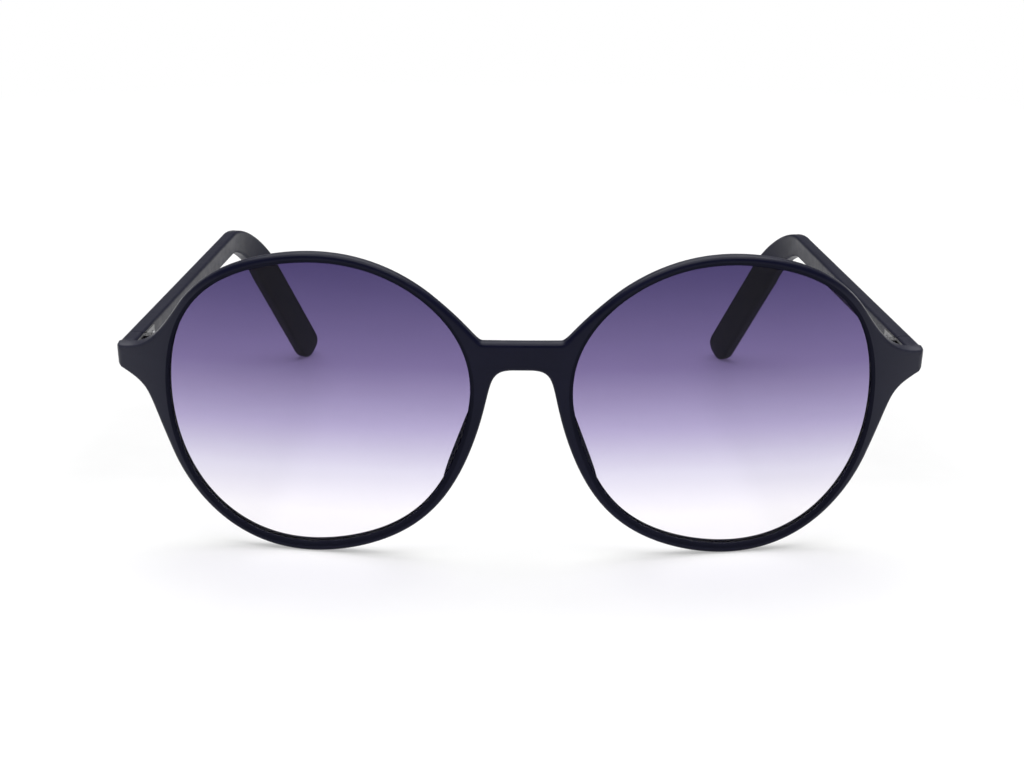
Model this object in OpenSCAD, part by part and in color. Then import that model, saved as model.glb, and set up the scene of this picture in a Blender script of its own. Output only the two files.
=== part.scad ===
/* [Front] */
// Mean radius of each lens opening, from its centre to the rim
eye_r = 27.85; // [26.5:0.05:28.6]
// Clear width between the two lens openings at the nose
lens_gap = 18.8; // [18:0.2:21]
// Depth of the front from its face to its back
front_t = 2.6; // [2.4:0.1:3.2]
// Radius of the curve that the front is bent to, seen from above
base_r = 260; // [220:10:320]
// Lean of the front, its top forward of its bottom, in degrees
tilt = 8; // [6:0.5:10]
// Mean width of the rim round a lens, seen from the front
rim_w = 1.9; // [1.85:0.05:2.4]
// How much narrower the rim is at the top, and wider at the bottom
rim_swing = 0.1; // [0:0.02:0.14]
// Rounding of the rim's edges
rim_round = 0.75; // [0.5:0.05:0.8]
// Rounding of the edges at the outer ends, where the front is crisper
end_round = 0.4; // [0.3:0.1:0.6]
// Rounding of the front's outer ends, seen from above
end_turn = 1.2; // [0.8:0.1:1.3]

/* [Bridge] */
// Height of the bridge's top edge above the middle of the lenses
bridge_top = 13.24; // [12:0.02:14]
// Height of the bridge from its top edge to its arch
bridge_h = 5.2; // [4.5:0.1:6]
// Half width of the straight part of the bridge's top edge
bridge_flat = 6.8; // [5.6:0.2:7.2]

/* [End pieces] */
// Length of each end piece from the lens opening to its outer end
end_len = 9.6; // [9:0.02:11]
// Height of the middle of the end pieces above the middle of the lenses
end_mid = 5.88; // [4.4:0.02:6.9]
// Height of each end piece at its outer end
end_h = 4.2; // [4.2:0.1:4.8]
// How far the end pieces reach back from the front's face to the joint
return_len = 8; // [7.5:0.5:10]

/* [Lenses] */
// Thickness of the lenses
lens_t = 1.6; // [1.4:0.1:1.7]
// Depth of the lens face behind the rim's face
lens_inset = 0.5; // [0.4:0.05:0.55]
// Depth of the groove that the lens edge sits in
groove_d = 0.6; // [0.4:0.1:0.7]
// Width of the tongue on the lens edge
tongue_t = 0.6; // [0.5:0.1:0.7]
// Gap between a lens and its rim
lens_fit = 0.05; // [0.03:0.01:0.08]

/* [Nose pads] */
// Length of each nose pad along the rim
pad_len = 15; // [12:0.5:17]
// How far the nose pads stand behind the front
pad_depth = 5.5; // [4:0.5:7]
// Greatest thickness of a nose pad
pad_t = 2.4; // [2:0.1:3]
// Bond line between a nose pad and the rim
pad_bond = 0.05; // [0.03:0.01:0.1]

/* [Temples] */
// Thickness of the temples
temple_t = 3; // [2.9:0.1:3.6]
// Length of the straight part of a temple, from the joint to the ear bend
temple_straight = 81.5; // [75:0.5:86]
// Height of a temple where the ear bend starts
temple_h = 4.6; // [4.2:0.1:5.2]
// Height of a temple along the drop and at its round tip
tip_h = 7.4; // [6.8:0.1:8]
// Rounding of the temple's edges
temple_round = 0.8; // [0.5:0.1:1]
// Radius of the ear bend along the middle of the temple
bend_r = 24.5; // [20:0.5:28]
// Angle of the drop behind the ear, in degrees
drop_angle = 55; // [50:1:58]
// How far the open temples lean in towards each other, in degrees
toe_angle = 3; // [2.6:0.2:4]
// Further lean inwards of the drop behind the ear, in degrees
curl_angle = 27; // [18:1:30]
// Thickness of the metal core inside a temple
core_t = 0.9; // [0.7:0.1:1]
// Height of the metal core inside a temple
core_h = 2.2; // [1.8:0.1:2.4]
// Gap between the core and the temple round it
core_fit = 0.05; // [0.03:0.01:0.08]

/* [Hinges] */
// Height of each hinge, all three knuckles
hinge_h = 3; // [2.8:0.1:3.1]
// Outer radius of the knuckles
knuckle_r = 1.1; // [1:0.05:1.2]
// Distance from the hinge pin's axis to the inner face of the temple
pin_offset = 0.8; // [0.7:0.05:0.9]
// Thickness of a hinge leaf
leaf_t = 0.9; // [0.8:0.05:1]
// Length of a hinge leaf beyond its knuckles
leaf_len = 5.4; // [5:0.1:5.8]
// How deep a leaf is let into the plastic
leaf_sunk = 0.6; // [0.5:0.05:0.7]
// Radius of the hinge screw's shank
screw_r = 0.6; // [0.5:0.02:0.64]
// Radius of the hinge screw's head
screw_head_r = 0.85; // [0.8:0.01:0.87]
// Height of the hinge screw's head
screw_head_h = 0.4; // [0.3:0.05:0.5]
// Radius of the small screws that hold a leaf
fixing_r = 0.4; // [0.35:0.01:0.45]
// Radius of those screws' heads
fixing_head_r = 0.7; // [0.62:0.02:0.8]
// How far those screws reach into the plastic
fixing_reach = 1.3; // [1:0.1:1.5]
// Gap across the joint between the end piece and the temple
joint_gap = 0.15; // [0.1:0.05:0.2]
// Gap between one knuckle and the next
knuckle_gap = 0.06; // [0.05:0.01:0.1]
// Gap between a knuckle and the recess round it
recess_gap = 0.25; // [0.2:0.05:0.3]
// Gap round the hinge screw in the knuckle that turns on it
running_fit = 0.04; // [0.03:0.01:0.06]
// Gap round a screw where it is held
seat_fit = 0.02; // [0.01:0.01:0.03]

/* [Hidden] */
$fn = 48;

// One overrun serves every cut
overrun = 1;

// Swell of the lens outline at one to six times round, as shares of its
// radius: it is a little fuller below and towards the nose
swell_cos_shares = [0.002, -0.0138, -0.0111, -0.0135, -0.0007, 0.0005];
swell_sin_shares = [-0.0155, -0.0275, 0.0176, 0, 0.0054, -0.0043];
turns = [1:6];
function eye_reach(a) = eye_r * (1
    + swell_cos_shares * [for (k = turns) cos(k * a)]
    + swell_sin_shares * [for (k = turns) sin(k * a)]);

// The rim is a little wider at the sides than above and below
side_share = 0.178;
quarter_share = 0.0885;
function rim_reach(a) = eye_reach(a) - rim_swing * sin(a)
    + rim_w * (1 + side_share * cos(2 * a) + quarter_share * cos(4 * a));

// Centre of the right-hand lens opening, across and up the face of the front
eye_x = lens_gap / 2 + eye_reach(180);
eye_z = rim_reach(270);

function eye_point(a, reach) = [eye_x + reach * cos(a), eye_z + reach * sin(a)];
function rim_point(a) = eye_point(a, rim_reach(a));
angle_step = 1;
function rim_heading(a) =
    let (d = rim_point(a + angle_step) - rim_point(a - angle_step)) d / norm(d);

// A smooth curve between two points with a handle at each end
function bezier(a, b, c, d, t) =
    a * pow(1 - t, 3) + b * (3 * t * pow(1 - t, 2)) + c * (3 * t * t * (1 - t)) + d * pow(t, 3);
function curve(a, b, c, d, steps) = [for (i = [1:steps - 1]) bezier(a, b, c, d, i / steps)];
function arc_points(from, to, steps) =
    [for (i = [0:steps]) rim_point(from + (to - from) * i / steps)];

// Outline of half the front, from under the bridge, round the lens and back
// to the bridge's top. Angles are where the rim flares into bridge and end.
arch_angle = 196;
arch_steps = 6;
low_flare_angle = 336;
high_flare_angle = 394;
crest_angle = 495;
bridge_high = eye_z + bridge_top;
bridge_low = bridge_high - bridge_h;
arch_flat = bridge_flat * 0.215;
arch_corner = bridge_flat * 0.8;
arch_handle = bridge_h * 2.46;
crest_corner = bridge_flat * 1.176;
crest_handle = bridge_h * 1.65;
end_x = eye_x + eye_reach(0) + end_len;
front_h = eye_z + rim_reach(90);
end_z = eye_z + end_mid;
end_low = end_z - end_h / 2;
end_high = end_z + end_h / 2;
end_nose = end_h * 0.13;
low_handle = end_h * 3.11;
low_lead = end_h * 1.585;
low_lead_angle = 30;
high_handle = end_h * 2;
high_lead = end_h * 1.1;

arch_start = [arch_flat, bridge_low];
arch_end = rim_point(arch_angle);
low_start = rim_point(low_flare_angle);
low_end = [end_x - end_nose, end_low - end_nose * 0.2];
high_start = [end_x - end_nose, end_high];
high_end = rim_point(high_flare_angle);
crest_start = rim_point(crest_angle);
crest_end = [bridge_flat, bridge_high];

outline = concat(
    [[0, bridge_low], arch_start],
    curve(arch_start, arch_start + [arch_corner, 0],
        arch_end - arch_handle * rim_heading(arch_angle), arch_end, arch_steps),
    arc_points(arch_angle, low_flare_angle, 20),
    curve(low_start, low_start + low_handle * rim_heading(low_flare_angle),
        low_end - low_lead * [cos(low_lead_angle), sin(low_lead_angle)], low_end, 6),
    [low_end, [end_x, end_low + end_nose], [end_x, end_high - end_nose], high_start],
    curve(high_start, high_start - [high_lead, 0],
        high_end - high_handle * rim_heading(high_flare_angle), high_end, 6),
    arc_points(high_flare_angle, crest_angle, 16),
    curve(crest_start, crest_start + crest_handle * rim_heading(crest_angle),
        crest_end + [crest_corner - bridge_flat, 0], crest_end, 4),
    [crest_end, [0, bridge_high]]
);
count = len(outline);

// Angle of each outline point about the lens centre, where the front's section
// there meets the lens opening. Under the bridge the outline doubles back, so
// there the angles are spread from level with the bridge down to the arch's
// end, slowly at first, and every section stays inside the bridge.
function angle_of(p) =
    let (a = atan2(p[1] - eye_z, p[0] - eye_x)) a < 0 ? a + 360 : a;
arch_count = arch_steps + 1;
arch_from = (angle_of([0, bridge_high]) + 180 - asin((bridge_low - eye_z) / eye_r)) / 2;
arch_spread = 1.8;
angles = [for (i = [0:count - 1])
    i < arch_count ? arch_from + (arch_angle - arch_from) * pow(i / arch_count, arch_spread)
    : angle_of(outline[i])];

// Outward direction of the outline at each point, mitred at corners
function unit(v) = v / norm(v);
function mirrored(p) = [-p[0], p[1]];
function side_normal(a, b) = let (d = unit(b - a)) [d[1], -d[0]];
function mitre(i) =
    let (
        before = i == 0 ? mirrored(outline[1]) : outline[i - 1],
        after = i == count - 1 ? mirrored(outline[i - 1]) : outline[i + 1],
        m = side_normal(before, outline[i]),
        n = side_normal(outline[i], after)
    ) (m + n) / (1 + m * n);

// Depth of the curved front at a distance across it, at a layer behind its face
function bent_depth(x, layer) = base_r - sqrt(pow(base_r - layer, 2) - x * x);
function on_front(p, layer) = [p[0], bent_depth(p[0], layer), p[1]];

// The edges are crisp at the end piece and round elsewhere. The face also
// turns back at the outer end, in a rounding seen from above.
function edge_round(i) =
    let (x = outline[i][0], full = eye_x + eye_r)
    x < full ? rim_round : max(end_round, rim_round - (rim_round - end_round) * (x - full) / end_h);
function face_round(i) =
    edge_round(i) + (end_turn - end_round) * max(0, 1 - (end_x - outline[i][0]) / end_nose);

// Section of the rim at each outline point: sixteen points, the first eight
// round the outside and the rest round the lens opening and its groove
groove_front = lens_inset + (lens_t - tongue_t) / 2 - lens_fit;
groove_back = lens_inset + (lens_t + tongue_t) / 2 + lens_fit;
lip_round = groove_front * 0.78;
soft_share = 0.3;
function rim_section(i) =
    let (
        a = angles[i],
        r = eye_reach(a),
        f = face_round(i),
        e = edge_round(i),
        m = mitre(i),
        p = outline[i],
        soft = soft_share
    ) [
        on_front(p - m * f, 0),
        on_front(p - m * f * soft, f * soft),
        on_front(p, f),
        on_front(p, front_t - e),
        on_front(p - m * e * soft, front_t - e * soft),
        on_front(p - m * e, front_t),
        on_front(eye_point(a, r + lip_round), front_t),
        on_front(eye_point(a, r + lip_round * soft), front_t - lip_round * soft),
        on_front(eye_point(a, r), front_t - lip_round),
        on_front(eye_point(a, r), groove_back),
        on_front(eye_point(a, r + groove_d), groove_back),
        on_front(eye_point(a, r + groove_d), groove_front),
        on_front(eye_point(a, r), groove_front),
        on_front(eye_point(a, r), lip_round),
        on_front(eye_point(a, r + lip_round * soft), lip_round * soft),
        on_front(eye_point(a, r + lip_round), 0)
    ];
outer_count = 6;
ring = 16;
half_points = [for (i = [0:count - 1]) each rim_section(i)];

// The two halves share their points on the middle plane
function on_middle(i, j) = (i == 0 || i == count - 1) && j < outer_count;
function index(side, i, j) =
    let (s = on_middle(i, j) ? 0 : side) s * count * ring + i * ring + j;
function strip(side, i, j) =
    let (
        k = (i + 1) % count,
        l = (j + 1) % ring,
        a = index(side, i, j),
        b = index(side, k, j),
        c = index(side, k, l),
        d = index(side, i, l)
    ) side == 0 ? [[a, b, c], [a, c, d]] : [[a, c, b], [a, d, c]];
// At the middle plane the outside is open, because the other half goes on there
function is_open(i, j) = i == count - 1 && j < outer_count - 1;
front_faces = [
    for (side = [0, 1]) for (i = [0:count - 1]) for (j = [0:ring - 1])
        if (!is_open(i, j)) each strip(side, i, j)
];
front_points = concat(half_points, [for (p = half_points) [-p[0], p[1], p[2]]]);

// The front leans, and its lowest point rests at height zero
function lean(p) =
    [p[0], p[1] * cos(tilt) - p[2] * sin(tilt), p[1] * sin(tilt) + p[2] * cos(tilt)];
leaning = [for (p = half_points) lean(p)];
rest_drop = min([for (p = leaning) p[2]]);
front_reach = min([for (p = leaning) p[1]]);

// Place of the joint: behind the end piece, on the line of the temple
end_block_x = end_x - end_round - end_nose;
end_face = lean(on_front([end_block_x, end_z], 0));
end_back = lean(on_front([end_block_x, end_z], front_t));
joint_y = end_face[1] + return_len;
hinge_z = end_back[2] - rest_drop;
step_in = 0.1;
joint_h = end_h - 2 * step_in;
bar_out = pin_offset + temple_t;
hinge_x = end_x - step_in - bar_out * cos(toe_angle) - (joint_y - end_back[1]) * sin(toe_angle);

// Run of the temple behind the joint: along the straight, round the ear bend
// and down the drop until its round tip touches the table. The top edge of
// the straight part is level.
tip_r = tip_h / 2;
straight_rise = (joint_h - temple_h) / 2;
bend_drop = bend_r * (1 - cos(drop_angle));
bend_run = bend_r * drop_angle * PI / 180;
drop_len = (hinge_z + straight_rise - bend_drop - tip_r) / sin(drop_angle);
straight_steps = 4;
bend_steps = 9;
drop_steps = 4;
function pitch_at(i) =
    i < straight_steps ? 0
    : i < straight_steps + bend_steps ? drop_angle * (i - straight_steps + 0.5) / bend_steps
    : drop_angle;
function yaw_at(i) =
    curl_angle * min(bend_steps, max(0, i - straight_steps + 0.5)) / bend_steps;
function step_len(i) =
    i < straight_steps ? temple_straight / straight_steps
    : i < straight_steps + bend_steps ? bend_run / bend_steps
    : drop_len / drop_steps;
function heading(pitch, yaw) = [-sin(yaw) * cos(pitch), cos(yaw) * cos(pitch), -sin(pitch)];
function rise_at(i) = i < straight_steps ? straight_rise / straight_steps : 0;
function temple_run(i) =
    i == 0 ? [[0, 0, 0]]
    : let (before = temple_run(i - 1), last = before[i - 1])
        concat(before, [last + step_len(i - 1) * heading(pitch_at(i - 1), yaw_at(i - 1))
            + [0, 0, rise_at(i - 1)]]);
run_steps = straight_steps + bend_steps + drop_steps;
temple_line = temple_run(run_steps);
function pitch_on(i) =
    i == 0 ? 0 : i >= run_steps ? drop_angle : (pitch_at(i - 1) + pitch_at(i)) / 2;
function yaw_on(i) = i == 0 ? 0 : i >= run_steps ? curl_angle : (yaw_at(i - 1) + yaw_at(i)) / 2;
function height_on(i) =
    i <= straight_steps ? joint_h + (temple_h - joint_h) * i / straight_steps
    : temple_h + (tip_h - temple_h) * min(1, (i - straight_steps) / bend_steps);

// A bar of rounded section through a list of rings. Each ring is a centre,
// a pitch and a yaw, a thickness, a height and an edge rounding.
corner_share = 0.3;
function bar_section(t, h, r) =
    let (x = t / 2, z = h / 2, s = r * corner_share)
    [
        [r - x, z], [s - x, z - s], [-x, z - r],
        [-x, r - z], [s - x, s - z], [r - x, -z],
        [x - r, -z], [x - s, s - z], [x, r - z],
        [x, z - r], [x - s, z - s], [x - r, z]
    ];
function bar_ring(c, pitch, yaw, t, h, r) =
    let (
        across = [cos(yaw), sin(yaw), 0],
        along = heading(pitch, yaw),
        up = cross(across, along)
    ) [for (p = bar_section(t, h, r)) c + p[0] * across + p[1] * up];
module bar(rings) {
    n = len(rings);
    m = len(rings[0]);
    faces = concat(
        [[for (j = [m - 1:-1:0]) j]],
        [for (i = [0:n - 2]) for (j = [0:m - 1]) each
            let (a = i * m + j, b = i * m + (j + 1) % m)
            [[a, b, b + m], [a, b + m, a + m]]],
        [[for (j = [0:m - 1]) (n - 1) * m + j]]
    );
    polyhedron(points = [for (r = rings) each r], faces = faces, convexity = 4);
}

// Rings of the temple, with its tip rounded off in elevation. One ring of the
// tip is where it rests on the table.
bar_x = pin_offset + temple_t / 2;
bar_y = joint_gap / 2;
tip_shares = [0.35, 0.7, 1, 1.36];
function temple_centre(i) = temple_line[i] + [bar_x, bar_y, 0];
tip_heading = heading(drop_angle, curl_angle);
temple_rings = concat(
    [for (i = [0:run_steps]) bar_ring(temple_centre(i), pitch_on(i), yaw_on(i),
        temple_t, height_on(i), temple_round)],
    [for (a = drop_angle * tip_shares) bar_ring(temple_centre(run_steps) + tip_r * sin(a) * tip_heading,
        drop_angle, curl_angle, temple_t - (temple_t / 2) * pow(sin(a), 4),
        tip_h * cos(a), min(temple_round, tip_h * cos(a) / 3))]
);

// The core starts behind the hinge and ends before the tip
core_start_share = 0.12;
core_from = [0, temple_straight * core_start_share, 0];
function core_ring(c, i, gap) =
    bar_ring(c, pitch_on(i), yaw_on(i), core_t + 2 * gap, core_h + 2 * gap, core_t / 4);
function core_rings(gap) = concat(
    [core_ring(temple_centre(0) + core_from - [0, gap, 0], 0, gap)],
    [for (i = [1:run_steps - 2]) core_ring(temple_centre(i), i, gap)],
    [core_ring(temple_centre(run_steps - 1) + gap * tip_heading, run_steps, gap)]
);

// Frames of reference
module leaning_front() {
    translate([0, origin_shift, -rest_drop])
        rotate([tilt, 0, 0])
            children();
}
module at_hinge(side) {
    mirror([side < 0 ? 1 : 0, 0, 0])
        translate([hinge_x, joint_y + origin_shift, hinge_z])
            rotate([0, 0, toe_angle])
                children();
}
// The origin is under the middle of the whole part
tip_far = tip_r * cos(toe_angle);
run_end = temple_line[run_steps];
temple_far = joint_y + run_end[1] * cos(toe_angle) + run_end[0] * sin(toe_angle)
    + bar_x * sin(toe_angle) + tip_far;
origin_shift = -(front_reach + temple_far) / 2;

// Hinge
knuckle_h = (hinge_h - 2 * knuckle_gap) / 3;
leaf_in = pin_offset - leaf_t + leaf_sunk;
leaf_face = leaf_in + leaf_t;
recess_h = hinge_h + 2 * knuckle_gap;
recess_r = knuckle_r + recess_gap;
recess_in = max(recess_r, leaf_face + seat_fit);
fixing_shares = [0.34, 0.76];
fixing_head_h = fixing_r * 0.7;
function fixing_y(k) = recess_r + (leaf_len - recess_gap) * fixing_shares[k];

module leaf_plate(way) {
    y = way > 0 ? recess_r : -recess_r - leaf_len;
    translate([leaf_in, y, -hinge_h / 2])
        cube([leaf_t, leaf_len, hinge_h]);
}
module knuckle(level, way) {
    z = -hinge_h / 2 + level * (knuckle_h + knuckle_gap);
    translate([0, 0, z])
        cylinder(r = knuckle_r, h = knuckle_h);
    translate([leaf_in, way > 0 ? 0 : -recess_r - leaf_t / 2, z])
        cube([leaf_t, recess_r + leaf_t / 2, knuckle_h]);
}
module pin_bore(gap) {
    translate([0, 0, -hinge_h / 2 - overrun])
        cylinder(r = screw_r + gap, h = hinge_h + 2 * overrun);
}
module fixing_holes(way) {
    for (k = [0, 1])
        translate([leaf_in - overrun, way * fixing_y(k), 0])
            rotate([0, 90, 0])
                cylinder(r = fixing_r + seat_fit, h = leaf_t + fixing_reach + overrun);
}
module leaf(levels, way, gap) {
    difference() {
        union() {
            leaf_plate(way);
            for (level = levels)
                knuckle(level, way);
        }
        pin_bore(gap);
        fixing_holes(way);
        if (way < 0)
            translate([0, 0, hinge_h / 2 - screw_head_h - seat_fit])
                cylinder(r = screw_head_r + seat_fit, h = screw_head_h + overrun);
    }
}
// The pocket for a leaf and the recess that clears the knuckles
module hinge_pocket(way) {
    y = way > 0 ? recess_r - seat_fit : -recess_r - leaf_len - seat_fit;
    translate([pin_offset - overrun, y, -hinge_h / 2 - seat_fit])
        cube([leaf_sunk + seat_fit + overrun, leaf_len + 2 * seat_fit, hinge_h + 2 * seat_fit]);
    translate([pin_offset - overrun, way > 0 ? -overrun : -recess_r, -recess_h / 2])
        cube([recess_in - pin_offset + overrun, recess_r + overrun, recess_h]);
    fixing_holes(way);
}

// Front frame
module front_blank() {
    polyhedron(points = front_points, faces = front_faces, convexity = 10);
}
module end_return() {
    into = (joint_y - end_back[1]) / cos(toe_angle) + front_t * 0.3;
    bar([for (y = [-into, -joint_gap / 2])
        bar_ring([bar_x, y, 0], 0, 0, temple_t, joint_h, temple_round)]);
}
module front_frame() {
    color([0.11, 0.12, 0.17])
        difference() {
            union() {
                leaning_front()
                    front_blank();
                for (side = [-1, 1])
                    at_hinge(side)
                        end_return();
            }
            for (side = [-1, 1])
                at_hinge(side)
                    hinge_pocket(-1);
        }
}

// Lenses: a bent sheet cut to the opening, with a tongue for the groove
bend_facets = 360;
module bend_cylinder(layer) {
    translate([0, base_r, -overrun])
        cylinder(r = base_r - layer, h = front_h + 2 * overrun, $fn = bend_facets);
}
module bent_sheet(front, back, grow) {
    difference() {
        intersection() {
            rotate([90, 0, 0])
                translate([0, 0, -end_back[1] - 2 * front_t])
                    linear_extrude(end_back[1] + 3 * front_t)
                        polygon([for (a = angles) eye_point(a, eye_reach(a) + grow)]);
            bend_cylinder(front);
        }
        bend_cylinder(back);
    }
}
module lens(side) {
    color([0.45, 0.38, 0.6, 0.6])
        leaning_front()
            mirror([side < 0 ? 1 : 0, 0, 0])
                union() {
                    bent_sheet(lens_inset, lens_inset + lens_t, -lens_fit);
                    bent_sheet(groove_front + lens_fit, groove_back - lens_fit,
                        groove_d - lens_fit);
                }
}

// Nose pads: slim blades bonded behind the rim beside the nose
pad_steps = 10;
pad_mid_angle = 197;
pad_span = pad_len / eye_r * 180 / PI;
pad_back = front_t + pad_bond;
function pad_fullness(t) = sqrt(max(0, 1 - pow(2 * t - 1, 2)));
pad_side_shares = [
    [-0.42, 0], [-0.5, 0.3], [-0.46, 0.7], [-0.2, 0.95],
    [0.1, 1], [0.38, 0.8], [0.5, 0.45], [0.42, 0]
];
function pad_ring(k) =
    let (
        t = k / pad_steps,
        full = max(0.25, pad_fullness(t)),
        a = pad_mid_angle + pad_span * (t - 0.5),
        mid = (eye_reach(a) + rim_reach(a)) / 2
    ) [for (s = pad_side_shares)
        on_front(eye_point(a, mid + pad_t * s[0] * (0.6 + 0.4 * full)),
            pad_back + pad_depth * full * s[1])];
module nose_pad(side) {
    color([0.13, 0.14, 0.19])
        leaning_front()
            mirror([side < 0 ? 1 : 0, 0, 0])
                bar([for (k = [0:pad_steps]) pad_ring(k)]);
}

// Hinge leaves, screws and temples
module front_hinge(side) {
    color([0.4, 0.4, 0.41])
        at_hinge(side)
            leaf([0, 2], -1, seat_fit);
}
module temple_hinge(side) {
    color([0.4, 0.4, 0.41])
        at_hinge(side)
            leaf([1], 1, running_fit);
}
module hinge_screw(side) {
    color([0.56, 0.56, 0.57])
        at_hinge(side)
            union() {
                translate([0, 0, -hinge_h / 2])
                    cylinder(r = screw_r, h = hinge_h - screw_head_h / 2);
                translate([0, 0, hinge_h / 2 - screw_head_h])
                    cylinder(r = screw_head_r, h = screw_head_h);
            }
}
module leaf_screws(side, way) {
    color([0.56, 0.56, 0.57])
        at_hinge(side)
            for (k = [0, 1])
                translate([leaf_in, way * fixing_y(k), 0])
                    rotate([0, 90, 0])
                        union() {
                            cylinder(r = fixing_r, h = leaf_t + fixing_reach - seat_fit);
                            translate([0, 0, -fixing_head_h])
                                cylinder(r = fixing_head_r, h = fixing_head_h);
                        }
}
module temple(side) {
    color([0.11, 0.12, 0.17])
        at_hinge(side)
            difference() {
                bar(temple_rings);
                bar(core_rings(core_fit));
                hinge_pocket(1);
            }
}
module temple_core(side) {
    color([0.66, 0.66, 0.68])
        at_hinge(side)
            bar(core_rings(0));
}

front_frame();
lens(-1);  // lens_left
lens(1);  // lens_right
nose_pad(-1);  // nose_pad_left
nose_pad(1);  // nose_pad_right
front_hinge(-1);  // front_hinge_left
front_hinge(1);  // front_hinge_right
temple_hinge(-1);  // temple_hinge_left
temple_hinge(1);  // temple_hinge_right
hinge_screw(-1);  // hinge_screw_left
hinge_screw(1);  // hinge_screw_right
leaf_screws(-1, -1);  // front_leaf_screws_left
leaf_screws(1, -1);  // front_leaf_screws_right
leaf_screws(-1, 1);  // temple_leaf_screws_left
leaf_screws(1, 1);  // temple_leaf_screws_right
temple(-1);  // temple_left
temple(1);  // temple_right
temple_core(-1);  // temple_core_left
temple_core(1);  // temple_core_right
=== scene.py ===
from math import asin, atan2, cos, degrees, pi, radians, sin, sqrt

import bmesh
import bpy
import numpy as np
from mathutils import Matrix, Vector


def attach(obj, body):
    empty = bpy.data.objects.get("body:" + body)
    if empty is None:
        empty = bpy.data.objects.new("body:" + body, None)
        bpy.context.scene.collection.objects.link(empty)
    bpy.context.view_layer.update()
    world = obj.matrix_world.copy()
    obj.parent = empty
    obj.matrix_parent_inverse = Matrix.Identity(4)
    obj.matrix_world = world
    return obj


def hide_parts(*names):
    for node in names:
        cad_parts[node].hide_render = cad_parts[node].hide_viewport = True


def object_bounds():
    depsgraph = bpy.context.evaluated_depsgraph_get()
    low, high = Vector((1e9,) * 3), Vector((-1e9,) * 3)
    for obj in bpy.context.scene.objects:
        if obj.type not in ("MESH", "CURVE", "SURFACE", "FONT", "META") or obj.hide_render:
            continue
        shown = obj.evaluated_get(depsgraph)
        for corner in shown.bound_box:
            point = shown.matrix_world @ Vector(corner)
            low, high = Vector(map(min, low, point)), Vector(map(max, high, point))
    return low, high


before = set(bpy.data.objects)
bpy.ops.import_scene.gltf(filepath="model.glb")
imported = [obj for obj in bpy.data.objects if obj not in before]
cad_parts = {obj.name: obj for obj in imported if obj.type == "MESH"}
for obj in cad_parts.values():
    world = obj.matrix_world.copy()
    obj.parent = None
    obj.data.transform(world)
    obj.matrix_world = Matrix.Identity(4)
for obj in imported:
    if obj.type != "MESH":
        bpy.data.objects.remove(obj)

cad_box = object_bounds()
MM = 0.001

# Sizes in millimetres and degrees, as in the part's source
EYE_R, LENS_GAP, FRONT_T, BASE_R, TILT = 27.85, 18.8, 2.6, 260.0, 8.0
RIM_W, RIM_SWING, RIM_ROUND, END_ROUND, END_TURN = 1.9, 0.1, 0.75, 0.4, 1.2
BRIDGE_TOP, BRIDGE_H, BRIDGE_FLAT = 13.24, 5.2, 6.8
END_LEN, END_MID, END_H, STEP_IN = 9.6, 5.88, 4.2, 0.1
LENS_T, LENS_INSET, GROOVE_D, TONGUE_T, LENS_FIT = 1.6, 0.5, 0.6, 0.6, 0.05
PAD_LEN, PAD_DEPTH, PAD_T, PAD_BOND, PAD_AT = 15.0, 5.5, 2.4, 0.05, 197
TEMPLE_T, TEMPLE_STRAIGHT, TEMPLE_H, TIP_H, TEMPLE_ROUND = 3.0, 81.5, 4.6, 7.4, 0.8
BEND_R, DROP_ANGLE, TOE, CURL = 24.5, 55.0, 3.0, 27.0
HINGE_H, KNUCKLE_R, PIN_OFFSET, LEAF_T, LEAF_LEN, LEAF_SUNK = 3.0, 1.1, 0.8, 0.9, 5.4, 0.6
JOINT_GAP, KNUCKLE_GAP, RECESS_GAP, SEAT_FIT = 0.15, 0.06, 0.25, 0.02

# Places that the source works out: how far the leaning front is lowered to the table,
# the hinge pin, and the move along Y that puts the part's middle at the origin
REST_DROP = 0.378469
HINGE_X, JOINT_Y, HINGE_Z = 69.0341, 13.0882, 37.3963
SHIFT = -62.3111

# How the lens opening departs from a circle: cosine and sine shares of each wave round it
SWELL = [(0.002, -0.0155), (-0.0138, -0.0275), (-0.0111, 0.0176), (-0.0135, 0.0), (-0.0007, 0.0054),
         (0.0005, -0.0043)]
# How the rim's width grows and shrinks twice and four times round the lens
RIM_SWELL = (0.178, 0.0885)


# The front, drawn flat as seen from before it: half its outline, then sections round a lens
def unit(v):
    return v / np.linalg.norm(v)


def eye_reach(a):
    """From the middle of the lens opening to its edge, at a degrees from +X."""
    waves = (c * cos(radians(k * a)) + s * sin(radians(k * a)) for k, (c, s) in enumerate(SWELL, 1))
    return EYE_R * (1 + sum(waves))


def rim_reach(a):
    """From the middle of the lens opening to the rim's outer edge."""
    a, r = radians(a), eye_reach(a)
    return r - RIM_SWING * sin(a) + RIM_W * (1 + RIM_SWELL[0] * cos(2 * a) + RIM_SWELL[1] * cos(4 * a))


EYE_X = LENS_GAP / 2 + eye_reach(180)
EYE_Z = rim_reach(270)


def eye_point(a, reach):
    return np.array([EYE_X + reach * cos(radians(a)), EYE_Z + reach * sin(radians(a))])


def rim_point(a):
    return eye_point(a, rim_reach(a))


def rim_heading(a):
    return unit(rim_point(a + 1) - rim_point(a - 1))


def curve(a, b, c, d, steps):
    """Points between the ends of a Bezier curve, without the ends."""
    a, b, c, d = (np.array(v, float) for v in (a, b, c, d))
    return [a * (1 - t) ** 3 + b * 3 * t * (1 - t) ** 2 + c * 3 * t * t * (1 - t) + d * t ** 3
            for t in (i / steps for i in range(1, steps))]


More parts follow.
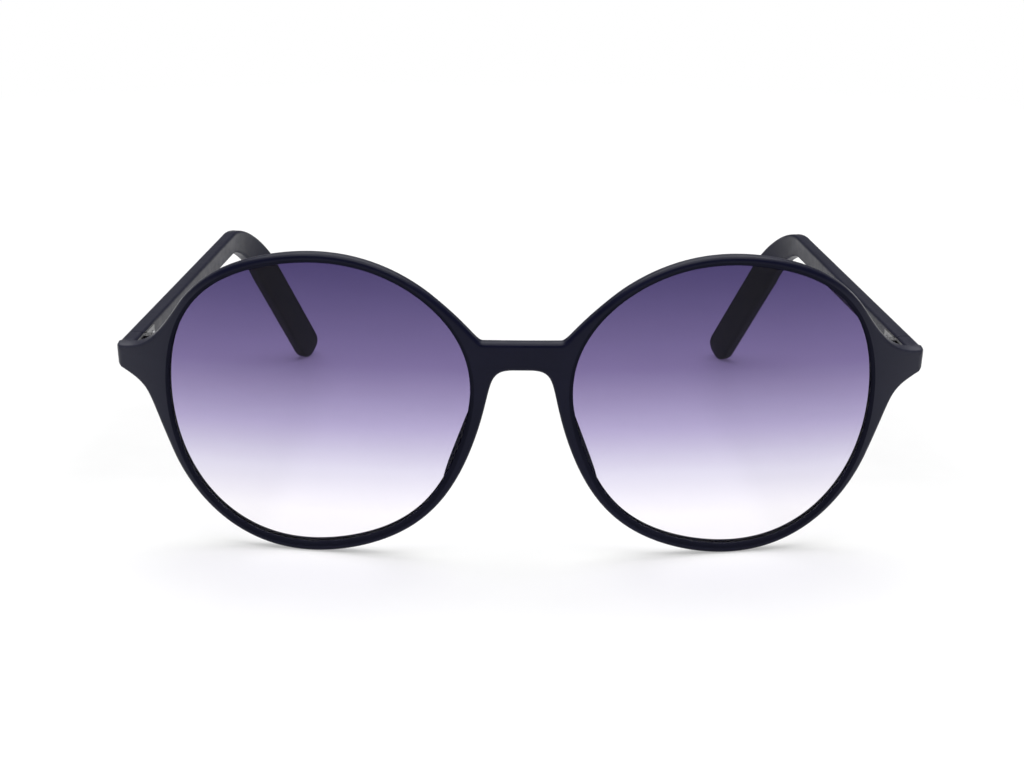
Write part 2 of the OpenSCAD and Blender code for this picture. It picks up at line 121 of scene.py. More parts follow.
BRIDGE_HIGH = EYE_Z + BRIDGE_TOP
BRIDGE_LOW = BRIDGE_HIGH - BRIDGE_H
END_X = EYE_X + eye_reach(0) + END_LEN
END_Z = EYE_Z + END_MID
END_LOW, END_HIGH = END_Z - END_H / 2, END_Z + END_H / 2
NOSE = END_H * 0.13  # size of the rounded corners of an end piece

# Angles round the lens where the outline joins and leaves the rim
ARCH_END, LOW_END, HIGH_START, CREST = 196, 336, 394, 495
# Half the flat of the arch, and the handles at both ends of each curve of the outline
ARCH_HALF = BRIDGE_FLAT * 0.215
ARCH_PULL = (BRIDGE_FLAT * 0.8, BRIDGE_H * 2.46)
LOW_PULL, LOW_SLOPE = (END_H * 3.11, END_H * 1.585), radians(30)
HIGH_PULL = (END_H * 1.1, END_H * 2)
CREST_PULL = (BRIDGE_H * 1.65, BRIDGE_FLAT * 0.176)
CORNER_PULL = 0.55 * NOSE
# Steps along the flats, the long curves, the two arcs of rim, the corners and the bridge's top
FLAT_STEPS, CURVE_STEPS, LOW_STEPS, HIGH_STEPS = 6, 26, 96, 80
CORNER_STEPS, CREST_STEPS, TOP_STEPS = 5, 18, 8


def front_outline():
    """Half the front, from under the bridge round the lens and the end piece to the bridge's top."""
    arch = np.array([ARCH_HALF, BRIDGE_LOW])
    arch_end, low, high, crest = (rim_point(a) for a in (ARCH_END, LOW_END, HIGH_START, CREST))
    low_end = np.array([END_X - NOSE, END_LOW - NOSE * 0.2])
    high_end = np.array([END_X - NOSE, END_HIGH])
    top = np.array([BRIDGE_FLAT, BRIDGE_HIGH])
    lead = LOW_PULL[1] * np.array([cos(LOW_SLOPE), sin(LOW_SLOPE)])
    k, n = CORNER_PULL, FLAT_STEPS
    out = [np.array([arch[0] * i / n, BRIDGE_LOW]) for i in range(n + 1)]
    out += curve(arch, arch + [ARCH_PULL[0], 0], arch_end - ARCH_PULL[1] * rim_heading(ARCH_END),
                 arch_end, CURVE_STEPS)
    out += [rim_point(ARCH_END + (LOW_END - ARCH_END) * i / LOW_STEPS) for i in range(LOW_STEPS + 1)]
    out += curve(low, low + LOW_PULL[0] * rim_heading(LOW_END), low_end - lead, low_end, CURVE_STEPS)
    out += [low_end]
    out += curve(low_end, low_end + [k, k * 0.6], [END_X, END_LOW + NOSE - k], [END_X, END_LOW + NOSE],
                 CORNER_STEPS)
    out += [np.array([END_X, END_LOW + NOSE + (END_H - 2 * NOSE) * i / n]) for i in range(n + 1)]
    out += curve([END_X, END_HIGH - NOSE], [END_X, END_HIGH - NOSE + k], high_end + [k, 0], high_end,
                 CORNER_STEPS)
    out += [high_end]
    out += curve(high_end, high_end - [HIGH_PULL[0], 0], high - HIGH_PULL[1] * rim_heading(HIGH_START),
                 high, CURVE_STEPS)
    out += [rim_point(HIGH_START + (CREST - HIGH_START) * i / HIGH_STEPS) for i in range(HIGH_STEPS + 1)]
    out += curve(crest, crest + CREST_PULL[0] * rim_heading(CREST), top + [CREST_PULL[1], 0], top,
                 CREST_STEPS)
    out += [np.array([BRIDGE_FLAT * (TOP_STEPS - i) / TOP_STEPS, BRIDGE_HIGH]) for i in range(TOP_STEPS + 1)]
    return np.array(out)


OUT = front_outline()
N = len(OUT)


def angle_of(p):
    return degrees(atan2(p[1] - EYE_Z, p[0] - EYE_X)) % 360


# The angle round the lens of each section. Under the bridge the angles spread so that
# no section leaves the material.
ARCH = FLAT_STEPS + CURVE_STEPS
ARCH_FROM = (angle_of([0, BRIDGE_HIGH]) + 180 - degrees(asin((BRIDGE_LOW - EYE_Z) / EYE_R))) / 2
ARCH_SPREAD = 1.8
ANGLES = [ARCH_FROM + (ARCH_END - ARCH_FROM) * (i / ARCH) ** ARCH_SPREAD if i < ARCH else angle_of(OUT[i])
          for i in range(N)]


def side_normal(a, b):
    d = unit(b - a)
    return np.array([d[1], -d[0]])


def mitre(i):
    """Outwards from outline point i, as long as keeps both edges beside it one unit off."""
    flip = np.array([-1, 1])
    before = OUT[1] * flip if i == 0 else OUT[i - 1]
    after = OUT[i - 1] * flip if i == N - 1 else OUT[i + 1]
    m, n = side_normal(before, OUT[i]), side_normal(OUT[i], after)
    return (m + n) / (1 + m @ n)


def on_front(p, layer):
    """A flat point laid on the front's base curve, layer millimetres behind its face."""
    return (p[0], BASE_R - sqrt((BASE_R - layer) ** 2 - p[0] ** 2), p[1])


def edge_round(i):
    x, full = OUT[i][0], EYE_X + EYE_R
    if x < full:
        return RIM_ROUND
    return max(END_ROUND, RIM_ROUND - (RIM_ROUND - END_ROUND) * (x - full) / END_H)


GROOVE_FRONT = LENS_INSET + (LENS_T - TONGUE_T) / 2 - LENS_FIT
GROOVE_BACK = LENS_INSET + (LENS_T + TONGUE_T) / 2 + LENS_FIT
LIP = GROOVE_FRONT * 0.78
QUARTER = [radians(90 * k / 5) for k in range(6)]
# Points of a section on its outer side, and in all
OUTER, RING = 2 * len(QUARTER), 4 * len(QUARTER) + 4


def rim_section(i):
    """The front's section at outline point i: outer edge, back lip, groove for the lens, front lip."""
    a, r, e, m, p = ANGLES[i], eye_reach(ANGLES[i]), edge_round(i), mitre(i), OUT[i]
    f = e + (END_TURN - END_ROUND) * max(0, 1 - (END_X - p[0]) / NOSE)
    pts = [on_front(p - m * f * (1 - sin(q)), f * (1 - cos(q))) for q in QUARTER]
    pts += [on_front(p - m * e * (1 - cos(q)), FRONT_T - e * (1 - sin(q))) for q in QUARTER]
    pts += [on_front(eye_point(a, r + LIP * (1 - sin(q))), FRONT_T - LIP * (1 - cos(q))) for q in QUARTER]
    pts += [on_front(eye_point(a, r), GROOVE_BACK), on_front(eye_point(a, r + GROOVE_D), GROOVE_BACK),
            on_front(eye_point(a, r + GROOVE_D), GROOVE_FRONT), on_front(eye_point(a, r), GROOVE_FRONT)]
    pts += [on_front(eye_point(a, r + LIP * (1 - cos(q))), LIP * (1 - sin(q))) for q in QUARTER]
    return pts


TILT_C, TILT_S = cos(radians(TILT)), sin(radians(TILT))


def lean(p):
    return (p[0], p[1] * TILT_C - p[2] * TILT_S, p[1] * TILT_S + p[2] * TILT_C)


HALF = [lean(p) for i in range(N) for p in rim_section(i)]


def place(p):
    """A point of the leaning front, in the part's frame in metres."""
    return (p[0] * MM, (p[1] + SHIFT) * MM, max(0.0, p[2] - REST_DROP) * MM)


def at_hinge(p, side):
    """A point of a hinge's own frame, in the part's frame in metres."""
    c, s = cos(radians(TOE)), sin(radians(TOE))
    x, y = p[0] * c - p[1] * s, p[0] * s + p[1] * c
    return (side * (HINGE_X + x) * MM, (JOINT_Y + SHIFT + y) * MM, (HINGE_Z + p[2]) * MM)


# Meshes
SHARP = 38  # degrees between two faces from which their edge is shaded sharp


def new_mesh(name, verts, faces, sharp=SHARP, second=()):
    """A closed mesh; the faces listed in second take the piece's second material."""
    mesh = bpy.data.meshes.new(name)
    mesh.from_pydata([tuple(v) for v in verts], [], faces)
    for i in second:
        mesh.polygons[i].material_index = 1
    mesh.validate()
    work = bmesh.new()
    work.from_mesh(mesh)
    bmesh.ops.remove_doubles(work, verts=work.verts, dist=1e-7)
    bmesh.ops.recalc_face_normals(work, faces=work.faces)
    work.to_mesh(mesh)
    work.free()
    mesh.shade_smooth()
    mesh.set_sharp_from_angle(angle=radians(sharp))
    obj = bpy.data.objects.new(name, mesh)
    bpy.context.scene.collection.objects.link(obj)
    return obj


def tube(rings, closed=False):
    """Points and faces through a list of rings of equal length, with capped ends unless closed."""
    n, m = len(rings), len(rings[0])
    faces = [(i * m + j, i * m + (j + 1) % m, (i + 1) * m + (j + 1) % m, (i + 1) * m + j)
             for i in range(n - 1) for j in range(m)]
    if not closed:
        faces += [tuple(range(m)), tuple((n - 1) * m + j for j in range(m))]
    return [p for r in rings for p in r], faces


def apply_boolean(obj, other, how):
    """Joins the other object to this one or cuts it away, and deletes it."""
    mod = obj.modifiers.new("cut", "BOOLEAN")
    mod.operation, mod.object, mod.solver = how, other, "EXACT"
    graph = bpy.context.evaluated_depsgraph_get()
    mesh = bpy.data.meshes.new_from_object(obj.evaluated_get(graph))
    obj.modifiers.clear()
    obj.data = mesh
    old = other.data
    bpy.data.objects.remove(other)
    bpy.data.meshes.remove(old)


def box_points(lo, hi):
    return [(x, y, z) for x in (lo[0], hi[0]) for y in (lo[1], hi[1]) for z in (lo[2], hi[2])]


BOX_FACES = [(0, 1, 3, 2), (4, 6, 7, 5), (0, 4, 5, 1), (2, 3, 7, 6), (0, 2, 6, 4), (1, 5, 7, 3)]


# The bar of rounded section that the temples and the returns of the front are made of
def bar_section(t, h, r, steps=5):
    x, z, r = t / 2, h / 2, min(r, t / 2 - 0.01, h / 2 - 0.01)
    out = []
    for cx, cz, start in ((x - r, z - r, 0), (r - x, z - r, 90), (r - x, r - z, 180), (x - r, r - z, 270)):
        turns = [radians(start + 90 * k / steps) for k in range(steps + 1)]
        out += [(cx + r * cos(q), cz + r * sin(q)) for q in turns]
    return out


def heading(pitch, yaw):
    p, w = radians(pitch), radians(yaw)
    return np.array([-sin(w) * cos(p), cos(w) * cos(p), -sin(p)])


def bar_ring(c, pitch, yaw, t, h, r):
    across = np.array([cos(radians(yaw)), sin(radians(yaw)), 0.0])
    up = np.cross(across, heading(pitch, yaw))
    return [tuple(np.array(c) + u * across + v * up) for u, v in bar_section(t, h, r)]


JOINT_H = END_H - 2 * STEP_IN
BAR_X = PIN_OFFSET + TEMPLE_T / 2
TIP_R = TIP_H / 2
RISE = (JOINT_H - TEMPLE_H) / 2
DROP_LEN = (HINGE_Z + RISE - BEND_R * (1 - cos(radians(DROP_ANGLE))) - TIP_R) / sin(radians(DROP_ANGLE))
LENGTHS = (TEMPLE_STRAIGHT, BEND_R * radians(DROP_ANGLE), DROP_LEN)
CELLS = (30, 36, 36)
TIP_TURNS = (10, 20, 30, 40, 50, 60, 68, 75, 80, 84, 87)
TIP_THIN = 0.5  # share of the temple's thickness that is gone at the very tip


def temple_rings():
    """Rings down the temple: straight, round the ear bend, down the drop and over the tip."""
    straight, bend, _ = LENGTHS

    def facts(s):
        """Pitch, yaw and height at s millimetres down the temple."""
        turn = min(1.0, max(0.0, (s - straight) / bend))
        if s <= straight:
            return 0, 0, JOINT_H + (TEMPLE_H - JOINT_H) * s / straight
        return DROP_ANGLE * turn, CURL * turn, TEMPLE_H + (TIP_H - TEMPLE_H) * turn

    at, s, rings = np.array([BAR_X, JOINT_GAP / 2, 0.0]), 0.0, []
    for i, step in enumerate([long / n for long, n in zip(LENGTHS, CELLS) for _ in range(n)]):
        pitch, yaw, h = facts(s)
        rings.append(bar_ring(at, pitch, yaw, TEMPLE_T, h, TEMPLE_ROUND))
        pitch, yaw, _ = facts(s + step / 2)
        rise = RISE * step / straight if i < CELLS[0] else 0
        at = at + step * heading(pitch, yaw) + np.array([0, 0, rise])
        s += step
    pitch, yaw, h = facts(s)
    rings.append(bar_ring(at, pitch, yaw, TEMPLE_T, h, TEMPLE_ROUND))
    for q in TIP_TURNS:
        u = sin(radians(q))
        h = TIP_H * cos(radians(q))
        rings.append(bar_ring(at + TIP_R * u * heading(DROP_ANGLE, CURL), DROP_ANGLE, CURL,
                              TEMPLE_T * (1 - TIP_THIN * u ** 4), h, min(TEMPLE_ROUND, h / 3)))
    return rings


RECESS_R = KNUCKLE_R + RECESS_GAP
LEAF_IN = PIN_OFFSET - LEAF_T + LEAF_SUNK
RECESS_IN = max(RECESS_R, LEAF_IN + LEAF_T + SEAT_FIT)
PAST = 1  # how far a cutter reaches past the surface that it cuts


def cut_pocket(obj, way, side):
    """The pocket for a hinge leaf and the recess round its knuckles, to +Y or -Y of the pin."""
    near, far = RECESS_R - SEAT_FIT, RECESS_R + LEAF_LEN + SEAT_FIT
    y = (near, far) if way > 0 else (-far, -near)
    z = HINGE_H / 2 + SEAT_FIT
    pocket = ((PIN_OFFSET - PAST, y[0], -z), (PIN_OFFSET + LEAF_SUNK + SEAT_FIT, y[1], z))
    y = (-PAST, RECESS_R) if way > 0 else (-RECESS_R, PAST)
    z = HINGE_H / 2 + KNUCKLE_GAP
    recess = ((PIN_OFFSET - PAST, y[0], -z), (RECESS_IN, y[1], z))
    for lo, hi in (pocket, recess):
        cutter = new_mesh("cutter", [at_hinge(p, side) for p in box_points(lo, hi)], BOX_FACES)
        apply_boolean(obj, cutter, "DIFFERENCE")


def dress(obj, *mats):
    if len(obj.data.materials):
        obj.data.materials.clear()
    for mat in mats:
        obj.data.materials.append(mat)


def make_front(*mats):
    """Both rims, the bridge and the end pieces in one, with the returns to the hinges."""
    def index(side, i, j):
        middle = i in (0, N - 1) and j < OUTER
        return (0 if middle else side) * N * RING + i * RING + j

    faces, inner = [], []
    for side in (0, 1):
        for i in range(N):
            for j in range(RING):
                if i == N - 1 and j < OUTER - 1:
                    continue
                if OUTER <= j < RING - 1:
                    inner.append(len(faces))
                k, l = (i + 1) % N, (j + 1) % RING
                f = (index(side, i, j), index(side, k, j), index(side, k, l), index(side, i, l))
                faces.append(f if side == 0 else f[::-1])
    verts = [place(p) for p in HALF] + [place((-p[0], p[1], p[2])) for p in HALF]
    front = new_mesh("front", verts, faces, second=inner)
    dress(front, *mats)
    back = lean(on_front((END_X - END_ROUND - NOSE, END_Z), FRONT_T))
    into = (JOINT_Y - back[1]) / cos(radians(TOE)) + FRONT_T * 0.3
    for side in (-1, 1):
        rings = [bar_ring((BAR_X, y, 0), 0, 0, TEMPLE_T, JOINT_H, TEMPLE_ROUND)
                 for y in np.linspace(-into, -JOINT_GAP / 2, 9)]
        verts, faces = tube([[at_hinge(p, side) for p in r] for r in rings])
        apply_boolean(front, new_mesh("return", verts, faces), "UNION")
    for side in (-1, 1):
        cut_pocket(front, -1, side)
    front.data.set_sharp_from_angle(angle=radians(SHARP))
    front.name = front.data.name = "front"
    return front


def make_temple(side, name):
    verts, faces = tube([[at_hinge(p, side) for p in r] for r in temple_rings()])
    obj = new_mesh(name, verts, faces)
    cut_pocket(obj, 1, side)
    obj.data.set_sharp_from_angle(angle=radians(SHARP))
    return obj


LENS_SIDES, LENS_RINGS = 180, 22


def make_lens(side, name):
    """A bent sheet with a tongue round its edge that sits in the rim's groove."""
    angles = [ARCH_FROM + 360 * i / LENS_SIDES for i in range(LENS_SIDES)]

    def spot(p, layer):
        q = lean(on_front(p, layer))
        return place((side * q[0], q[1], q[2]))

    def ring(grow, layer, share=1.0):
        return [spot(eye_point(a, (eye_reach(a) + grow) * share), layer) for a in angles]

    front, back = LENS_INSET, LENS_INSET + LENS_T
    rings = [ring(-LENS_FIT, front, k / LENS_RINGS) for k in range(1, LENS_RINGS + 1)]
    rings += [ring(-LENS_FIT, GROOVE_FRONT + LENS_FIT), ring(GROOVE_D - LENS_FIT, GROOVE_FRONT + LENS_FIT),
              ring(GROOVE_D - LENS_FIT, GROOVE_BACK - LENS_FIT), ring(-LENS_FIT, GROOVE_BACK - LENS_FIT)]
    rings += [ring(-LENS_FIT, back, k / LENS_RINGS) for k in range(LENS_RINGS, 0, -1)]
    verts, faces = tube(rings, closed=True)
    m = LENS_SIDES
    edge = [i for i in range(len(faces)) if LENS_RINGS - 1 <= i // m < LENS_RINGS + 4]
    for layer, first in ((front, 0), (back, (len(rings) - 1) * m)):
        verts.append(spot((EYE_X, EYE_Z), layer))
        faces += [(len(verts) - 1, first + j, first + (j + 1) % m) for j in range(m)]
    return new_mesh(name, verts, faces, second=edge)


# The pad's section, as shares of its thickness and of its depth
PAD_SHAPE = [(-0.42, 0), (-0.47, 0.13), (-0.5, 0.3), (-0.5, 0.5), (-0.46, 0.7), (-0.36, 0.86), (-0.2, 0.95),
             (-0.05, 1.0), (0.1, 1), (0.26, 0.93), (0.38, 0.8), (0.46, 0.64), (0.5, 0.45), (0.48, 0.2),
             (0.42, 0)]
PAD_STEPS, PAD_SHARP = 60, 50


def make_pad(side, name):
    """A slim blade bonded behind the rim beside the nose."""
    span = PAD_LEN / EYE_R * 180 / pi
    rings = []
    for k in range(PAD_STEPS + 1):
        t = k / PAD_STEPS
        full = max(0.25, sqrt(max(0, 1 - (2 * t - 1) ** 2)))
        a = PAD_AT + span * (t - 0.5)
        mid = (eye_reach(a) + rim_reach(a)) / 2
        ring = []
        for u, v in PAD_SHAPE:
            p = eye_point(a, mid + PAD_T * u * (0.6 + 0.4 * full))
            q = lean(on_front(p, FRONT_T + PAD_BOND + PAD_DEPTH * full * v))
            ring.append(place((side * q[0], q[1], q[2])))
        rings.append(ring)
    verts, faces = tube(rings)
    return new_mesh(name, verts, faces, PAD_SHARP)


# Materials. Scales of noise are in cells per metre.
NOISE_SPAN = (0.3, 0.7)  # where most of a noise's values lie
COLOUR_A, COLOUR_B, COLOUR_OUT = 6, 7, 2  # the colour sockets of a Mix node


def material(name):
    mat = bpy.data.materials.new(name)
    mat.use_nodes = True
    mat.node_tree.nodes.clear()
    return mat, mat.node_tree


def node(nt, kind, **inputs):
    n = nt.nodes.new("ShaderNode" + kind)
    for k, v in inputs.items():
        n.inputs[k.replace("_", " ")].default_value = v
    return n


def join(nt, a, b):
    nt.links.new(a, b)


def output(nt, surface, kind="OutputMaterial"):
    join(nt, surface, node(nt, kind).inputs["Surface"])


def coords(nt, kind="Object"):
    return node(nt, "TexCoord").outputs[kind]


def split(nt, vector):
    n = node(nt, "SeparateXYZ")
    join(nt, vector, n.inputs["Vector"])
    return n.outputs


def noise(nt, vector, scale, detail=3.0, rough=0.5):
    n = node(nt, "TexNoise", Scale=scale, Detail=detail, Roughness=rough)
    join(nt, vector, n.inputs["Vector"])
    return n.outputs["Fac"]


def ramp(nt, fac, stops):
    n = node(nt, "ValToRGB")
    els = n.color_ramp.elements
    while len(els) < len(stops):
        els.new(0.5)
    for e, (at, colour) in zip(els, stops):
        e.position = at
        e.color = (*colour, 1)
    join(nt, fac, n.inputs["Fac"])
    return n.outputs["Color"]


def clouded(nt, value, dark, light):
    return ramp(nt, value, [(NOISE_SPAN[0], dark), (NOISE_SPAN[1], light)])


def ranged(nt, value, span, to):
    n = node(nt, "MapRange", From_Min=span[0], From_Max=span[1], To_Min=to[0], To_Max=to[1])
    join(nt, value, n.inputs["Value"])
    return n.outputs["Result"]


def maths(nt, how, *terms):
    n = node(nt, "Math")
    n.operation = how
    for i, t in enumerate(terms):
        if isinstance(t, (int, float)):
            n.inputs[i].default_value = t
        else:
            join(nt, t, n.inputs[i])
    return n.outputs[0]


def blended(nt, fac, a, b):
    n = node(nt, "MixShader")
    for i, t in enumerate((fac, a, b)):
        join(nt, t, n.inputs[i])
    return n.outputs[0]


def bump(nt, height, strength, distance):
    n = node(nt, "Bump", Strength=strength, Distance=distance)
    join(nt, height, n.inputs["Height"])
    return n.outputs["Normal"]


# In metres: where the painted sheen that makes the front's ends paler fades in from its middle, and out
# along the returns
ENDS, RETURN = (0.052, 0.073), (-0.057, -0.0535)


def plastic(name, dark, light, rough=(0.32, 0.4), shine=0.12, painted_sheen=None):
    """Matte moulded plastic: satin grain, faint clouding, uneven gloss and, if asked, paler ends that are a
    painted sheen.
    """
    mat, nt = material(name)
    at = coords(nt)
    p = node(nt, "BsdfPrincipled", Specular_IOR_Level=shine)
    colour = clouded(nt, noise(nt, at, 90, detail=4), dark, light)
    if painted_sheen:
        # Painted sheen: the colour turns paler towards the front's ends, in place of the light they catch
        axes = split(nt, at)
        ends = ranged(nt, maths(nt, "ABSOLUTE", axes["X"]), ENDS, (0.0, 1.0))
        ends = maths(nt, "MULTIPLY", ends, ranged(nt, axes["Y"], RETURN, (1.0, 0.0)))
        mix = node(nt, "Mix")
        mix.data_type = "RGBA"
        join(nt, ends, mix.inputs["Factor"])
        join(nt, colour, mix.inputs[COLOUR_A])
        mix.inputs[COLOUR_B].default_value = (*painted_sheen, 1)
        colour = mix.outputs[COLOUR_OUT]
    join(nt, colour, p.inputs["Base Color"])
    join(nt, ranged(nt, noise(nt, at, 420), NOISE_SPAN, rough), p.inputs["Roughness"])
    grain = noise(nt, at, 5200, detail=2, rough=0.6)
    join(nt, bump(nt, grain, strength=0.25, distance=0.00002), p.inputs["Normal"])
    output(nt, p.outputs[0])
    return mat


def metal(name, dark, light, rough=(0.22, 0.38), stretch=(1, 1, 14)):
    """Machined metal with fine lines and slight tarnish."""
    mat, nt = material(name)
    at = coords(nt)
    mapping = node(nt, "Mapping", Scale=stretch)
    join(nt, at, mapping.inputs["Vector"])
    lines = noise(nt, mapping.outputs["Vector"], 2600, rough=0.6)
    p = node(nt, "BsdfPrincipled", Metallic=1.0)
    join(nt, clouded(nt, noise(nt, at, 700), dark, light), p.inputs["Base Color"])
    join(nt, ranged(nt, lines, NOISE_SPAN, rough), p.inputs["Roughness"])
    join(nt, bump(nt, lines, strength=0.2, distance=0.00001), p.inputs["Normal"])
    output(nt, p.outputs[0])
    return mat


def linear(*rgb):
    """A colour of 0 to 255 as the shaders' linear light."""
    return tuple(((c / 255 + 0.055) / 1.055) ** 2.4 if c > 10 else c / 255 / 12.92 for c in rgb)


# What both faces of a lens let through, by height in millimetres, up to TINT_TOP
TINT = [(2, (252, 250, 252)), (8, (251, 248, 253)), (17, (227, 223, 241)), (26, (180, 170, 207)),
        (38, (124, 111, 155)), (60, (68, 60, 101))]
TINT_TOP = 62
TINT_WANDER = 0.0006  # metres that the bands wander up and down
GLOSS_LIGHT = 0.012  # light that the lens's own gloss adds, taken off what it lets through
GLOSS_IOR = 1.25


def lens_tint(name, polished=True):
    """Clear plastic dyed from the top; the gloss is left out where the rim hides the lens's edge."""
    mat, nt = material(name)
    at = coords(nt)
    wander = ranged(nt, noise(nt, at, 24, detail=2), (0, 1), (-TINT_WANDER, TINT_WANDER))
    height = ranged(nt, maths(nt, "ADD", split(nt, at)["Z"], wander), (0, TINT_TOP * MM), (0, 1))
    # A look through the lens passes two faces, so each has the square root of the tint
    stops = [(z / TINT_TOP, tuple(sqrt(max(0.0, c - GLOSS_LIGHT)) for c in linear(*rgb))) for z, rgb in TINT]
    clear = node(nt, "BsdfTransparent")
    join(nt, ramp(nt, height, stops), clear.inputs["Color"])
    if not polished:
        output(nt, clear.outputs[0])
        return mat
    gloss = node(nt, "BsdfGlossy")
    join(nt, ranged(nt, noise(nt, at, 60, detail=2), NOISE_SPAN, (0.015, 0.035)), gloss.inputs["Roughness"])
    outside = maths(nt, "SUBTRACT", 1.0, node(nt, "NewGeometry").outputs["Backfacing"])
    shine = maths(nt, "MULTIPLY", node(nt, "Fresnel", IOR=GLOSS_IOR).outputs[0], outside)
    output(nt, blended(nt, shine, clear.outputs[0], gloss.outputs[0]))
    return mat


BLUE_BLACK = (0.003, 0.0035, 0.0155), (0.0045, 0.005, 0.02)
# The front's ends are painted paler: a painted sheen in place of the light they catch
FRONT = plastic("front_plastic", *BLUE_BLACK, painted_sheen=(0.03, 0.031, 0.047))
NAVY = plastic("frame_plastic", *BLUE_BLACK)
DULL = dict(rough=(0.6, 0.7), shine=0.0)
PAD = plastic("pad_plastic", (0.0045, 0.005, 0.013), (0.006, 0.0065, 0.0165), **DULL)
# The rim's inner faces: the frame plastic without gloss, painted paler than it as a painted sheen in place
# of the light they reflect
GROOVE = plastic("groove_plastic", (0.0095, 0.01, 0.018), (0.0125, 0.013, 0.023), **DULL)
TINTED = lens_tint("lens_tint")
EDGE = lens_tint("lens_edge", polished=False)
HINGE = metal("hinge_steel", (0.105, 0.105, 0.11), (0.16, 0.16, 0.165), rough=(0.26, 0.4))
SCREW = metal("screw_steel", (0.24, 0.24, 0.25), (0.31, 0.31, 0.32), rough=(0.22, 0.34), stretch=(1, 1, 1))
CORE = metal("core_steel", (0.5, 0.5, 0.51), (0.64, 0.64, 0.65), rough=(0.3, 0.45), stretch=(1, 12, 1))


# The pieces
def settle(obj):
    """Brings the last few microns of a piece inside the box of the CAD model."""
    for v in obj.data.vertices:
        v.co = [min(max(c, lo), hi) for c, lo, hi in zip(v.co, *cad_box)]


def piece(obj, mats, slot, body, *nodes):
    if mats:
        dress(obj, *mats)
    settle(obj)
    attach(obj, body)
    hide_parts(*nodes)


# The front gets its materials before its booleans, so that its inner faces keep the second one
piece(make_front(FRONT, GROOVE), (), "frame_plastic", "front", "front_frame")
for side, word in ((-1, "left"), (1, "right")):
    piece(make_lens(side, "tinted_lens_" + word), (TINTED, EDGE), "lens_tint", "front", "lens_" + word)
    piece(make_pad(side, "pad_" + word), (PAD,), "pad_plastic", "front", "nose_pad_" + word)
    piece(make_temple(side, "arm_" + word), (NAVY,), "frame_plastic", word + "_temple", "temple_" + word)

# The first of these words in a CAD node's name gives its material
FINISHES = [("screw", SCREW), ("hinge", HINGE), ("core", CORE), ("lens", TINTED), ("pad", PAD), ("", NAVY)]
for name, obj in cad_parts.items():
    dress(obj, next(mat for word, mat in FINISHES if word in name))


# Floor, light and camera
WHITE = (1, 1, 1, 1)
FLOOR_HALF = 6.0
FLOOR_WHITE = (0.3, 0.6), (0.4, 1.0)  # share of plain white, by metres from the origin
SHEEN_FROM = (-0.045, -0.02), (0.0, 0.09)  # gloss, by metres behind the lenses
SHEEN_FADE = (0.15, 0.35), (1.0, 0.0)  # its fading, by metres from the origin
# The world by the height that a ray looks to: a bright horizon, a dark room above it, a pale ceiling
SKY = [(0.0, 0.9), (0.05, 0.5), (0.13, 0.12), (0.35, 0.12), (0.9, 0.2)]


def stage_floor():
    """Pale paper that the camera sees as white, with the object's shadow and a faint sheen."""
    mesh = bpy.data.meshes.new("floor")
    s = FLOOR_HALF
    mesh.from_pydata([(-s, -s, 0), (s, -s, 0), (s, s, 0), (-s, s, 0)], [], [(0, 1, 2, 3)])
    floor = bpy.data.objects.new("floor", mesh)
    bpy.context.scene.collection.objects.link(floor)
    mat, nt = material("paper_floor")
    at = coords(nt)
    path = node(nt, "LightPath").outputs
    seen = maths(nt, "MAXIMUM", path["Is Camera Ray"], path["Is Glossy Ray"])
    seen = maths(nt, "MAXIMUM", seen, path["Is Transmission Ray"])
    reach = node(nt, "VectorMath")
    reach.operation = "LENGTH"
    join(nt, at, reach.inputs[0])
    far = reach.outputs["Value"]
    share = maths(nt, "MULTIPLY", seen, ranged(nt, far, *FLOOR_WHITE))
    paper = node(nt, "BsdfDiffuse")
    grain = clouded(nt, noise(nt, at, 60, detail=4), (0.93, 0.93, 0.93), (0.96, 0.96, 0.96))
    join(nt, grain, paper.inputs["Color"])
    white = node(nt, "Emission", Color=WHITE, Strength=1.0)
    ground = blended(nt, share, paper.outputs[0], white.outputs[0])
    sheen = maths(nt, "MULTIPLY", ranged(nt, split(nt, at)["Y"], *SHEEN_FROM), ranged(nt, far, *SHEEN_FADE))
    gloss = node(nt, "BsdfGlossy", Roughness=0.08)
    output(nt, blended(nt, sheen, ground, gloss.outputs[0]))
    mesh.materials.append(mat)


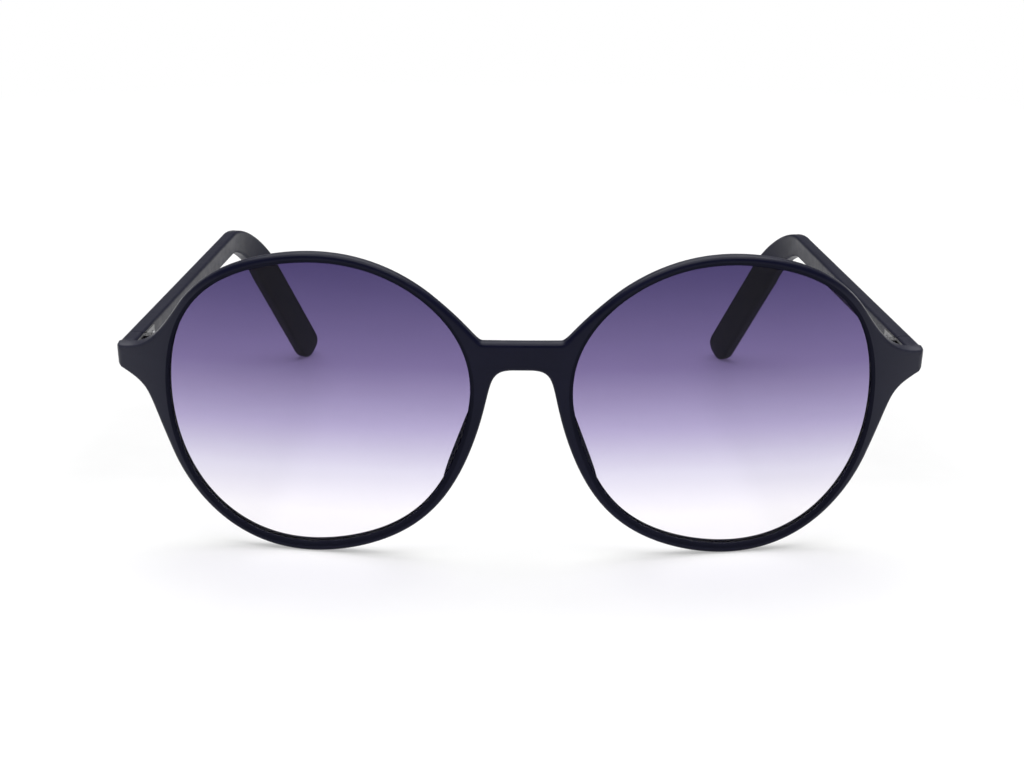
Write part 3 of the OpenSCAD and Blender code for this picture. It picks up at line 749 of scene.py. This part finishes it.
def studio_world():
    world = bpy.data.worlds.new("studio")
    bpy.context.scene.world = world
    world.use_nodes = True
    nt = world.node_tree
    nt.nodes.clear()
    path = node(nt, "LightPath").outputs
    room = node(nt, "Background")
    sky = ramp(nt, split(nt, coords(nt, "Generated"))["Z"], [(z, (v, v, v)) for z, v in SKY])
    join(nt, sky, room.inputs["Color"])
    white = node(nt, "Background", Color=WHITE)
    seen = maths(nt, "MAXIMUM", path["Is Camera Ray"], path["Is Transmission Ray"])
    output(nt, blended(nt, seen, room.outputs[0], white.outputs[0]), "OutputWorld")


def lamp(name, at, to, size, power):
    data = bpy.data.lights.new(name, "AREA")
    data.shape, data.size, data.size_y, data.energy = "RECTANGLE", size[0], size[1], power
    obj = bpy.data.objects.new(name, data)
    obj.location = at
    obj.rotation_euler = (Vector(to) - Vector(at)).to_track_quat("-Z", "Y").to_euler()
    bpy.context.scene.collection.objects.link(obj)


# The camera, fitted to the photograph, in millimetres and degrees. It looks at a point over
# the front from DISTANCE away, then stands a little aside and higher.
DISTANCE, ELEVATION, YAW, ROLL = 297.3, 17.82, -0.55, 0.51
AIM_Z, ASIDE, ABOVE = 27, -1.6, 6.5
FOCAL_PIXELS, PHOTO_WIDTH, SENSOR = 1650, 1024, 36.0


def camera():
    elevation, yaw, roll = radians(ELEVATION), radians(YAW), radians(ROLL)
    back = Vector((sin(yaw) * cos(elevation), -cos(yaw) * cos(elevation), sin(elevation)))
    right = (-back).cross(Vector((0, 0, 1))).normalized()
    up = right.cross(-back)
    x = cos(roll) * right + sin(roll) * up
    y = -sin(roll) * right + cos(roll) * up
    at = back * DISTANCE + Vector((0, 0, AIM_Z)) + x * ASIDE + y * ABOVE + Vector((0, SHIFT, 0))
    data = bpy.data.cameras.new("camera")
    data.sensor_fit, data.sensor_width = "HORIZONTAL", SENSOR
    data.lens = FOCAL_PIXELS / PHOTO_WIDTH * SENSOR
    data.clip_start, data.clip_end = 0.01, 50
    obj = bpy.data.objects.new("camera", data)
    bpy.context.scene.collection.objects.link(obj)
    m = Matrix((x, y, back)).transposed().to_4x4()
    m.translation = at * MM
    obj.matrix_world = m
    bpy.context.scene.camera = obj


stage_floor()
studio_world()
lamp("top_box", (0.0, -0.05, 1.1), (0, -0.05, 0.0), size=(1.4, 1.2), power=16.8)
lamp("back_box", (0.0, 0.7, 0.68), (0, 0, 0.03), size=(1.0, 0.4), power=2.6)
camera()
bpy.context.scene.view_settings.view_transform = "Standard"
